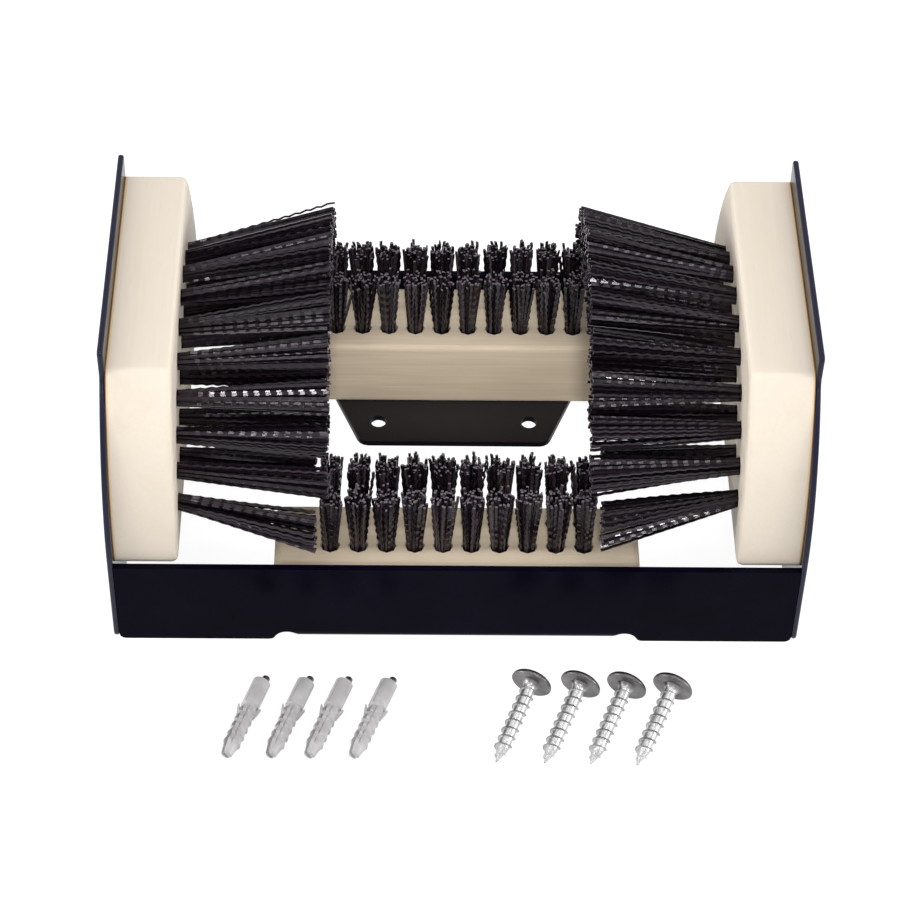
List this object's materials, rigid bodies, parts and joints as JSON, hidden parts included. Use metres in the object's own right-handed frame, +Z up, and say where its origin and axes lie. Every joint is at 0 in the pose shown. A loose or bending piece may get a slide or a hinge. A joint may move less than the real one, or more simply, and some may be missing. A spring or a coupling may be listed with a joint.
{
  "type": "boot scraper",
  "caption": "Floor-mounted boot scraper: black powder-coated steel frame with arched end plates, wooden brush blocks with nylon tufts, and loose fixing screws and wall plugs.",
  "frame": {"origin": "bottom centre of the whole set's bounding box, on the floor; the scraper's own centre is 34.5 mm behind it", "axes": "+X to the right along the rails, +Y to the rear, away from the loose screws and plugs, +Z up"},
  "size_m": [0.295, 0.2538, 0.1423],
  "materials": {
    "powder_coat": "gloss",
    "side_wood": "planed",
    "bottom_wood": "planed",
    "bristle_nylon": "crimped filament",
    "zinc_plate": "bright zinc",
    "plug_nylon": "moulded",
    "pin_steel": "dark"
  },
  "bodies": {
    "root": {"left_end_plate": "powder_coat", "right_end_plate": "powder_coat", "front_rail": "powder_coat", "rear_rail": "powder_coat", "left_brush_block": "side_wood", "right_brush_block": "side_wood", "front_brush_block": "bottom_wood", "rear_brush_block": "bottom_wood", "left_bristles": "bristle_nylon", "right_bristles": "bristle_nylon", "front_bristles": "bristle_nylon", "rear_bristles": "bristle_nylon", "left_block_screw_1": "zinc_plate", "left_block_screw_2": "zinc_plate", "right_block_screw_1": "zinc_plate", "right_block_screw_2": "zinc_plate", "front_block_screw_1": "zinc_plate", "front_block_screw_2": "zinc_plate", "rear_block_screw_1": "zinc_plate", "rear_block_screw_2": "zinc_plate", "mounting_screw_1": "zinc_plate", "mounting_screw_2": "zinc_plate", "mounting_screw_3": "zinc_plate", "mounting_screw_4": "zinc_plate", "wall_plug_1": "plug_nylon", "wall_plug_2": "plug_nylon", "wall_plug_3": "plug_nylon", "wall_plug_4": "plug_nylon", "plug_pin_1": "pin_steel", "plug_pin_2": "pin_steel", "plug_pin_3": "pin_steel", "plug_pin_4": "pin_steel"}
  },
  "joints": []
}
